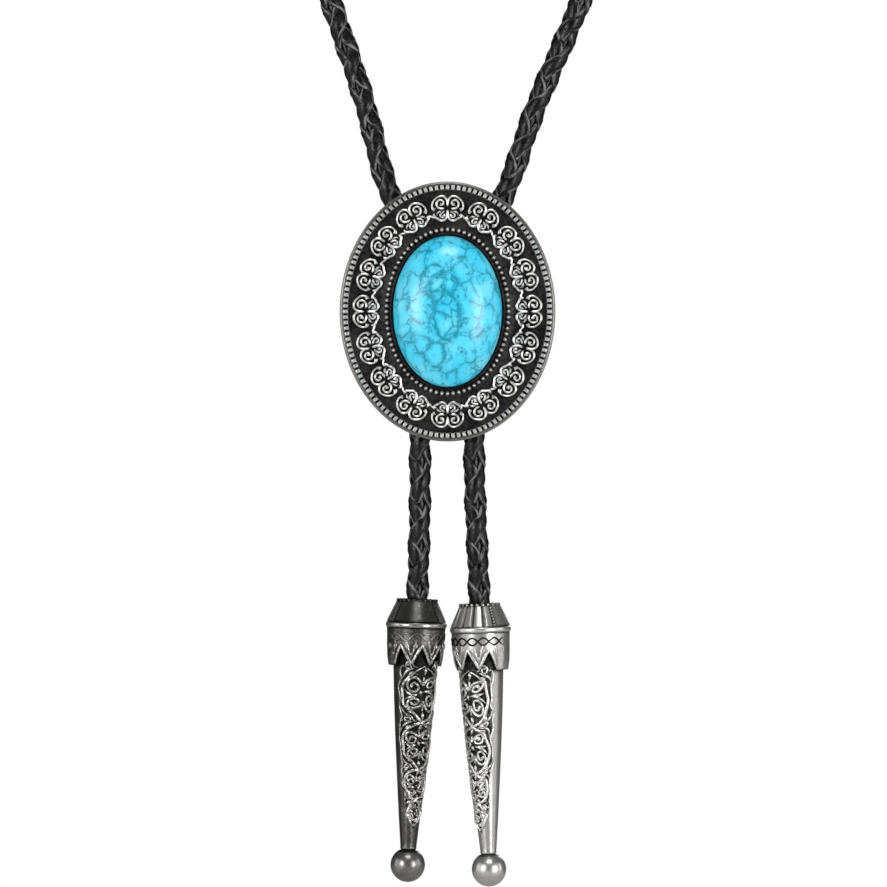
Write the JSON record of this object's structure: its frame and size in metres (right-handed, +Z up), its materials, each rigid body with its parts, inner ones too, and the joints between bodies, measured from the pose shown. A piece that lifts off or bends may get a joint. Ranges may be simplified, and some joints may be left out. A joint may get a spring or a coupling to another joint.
{
  "type": "bolo tie",
  "caption": "Bolo tie: an oval cast metal slide with a domed turquoise-coloured stone, on a braided leather cord with two long cast tips.",
  "frame": {"origin": "on the inner side of the cord at the nape of the neck, where the worn tie rests", "axes": "+Z up as worn, -Y the way the slide faces, +X to the right of someone looking at the slide"},
  "size_m": [0.1451, 0.1402, 0.4113],
  "materials": {
    "cast_silver": "antiqued cast silver colour, dark in the recesses and bright on the raised edges",
    "turquoise": "polished, with dark veins",
    "plated_steel": "satin",
    "braided_leather": "black, semi-gloss, four-strand round braid"
  },
  "bodies": {
    "root": {"concho": "cast_silver", "cabochon": "turquoise", "slide_clip": "plated_steel", "neck_cord": "braided_leather", "left_tail": "braided_leather", "right_tail": "braided_leather", "left_tip": "cast_silver", "right_tip": "cast_silver"}
  },
  "joints": []
}
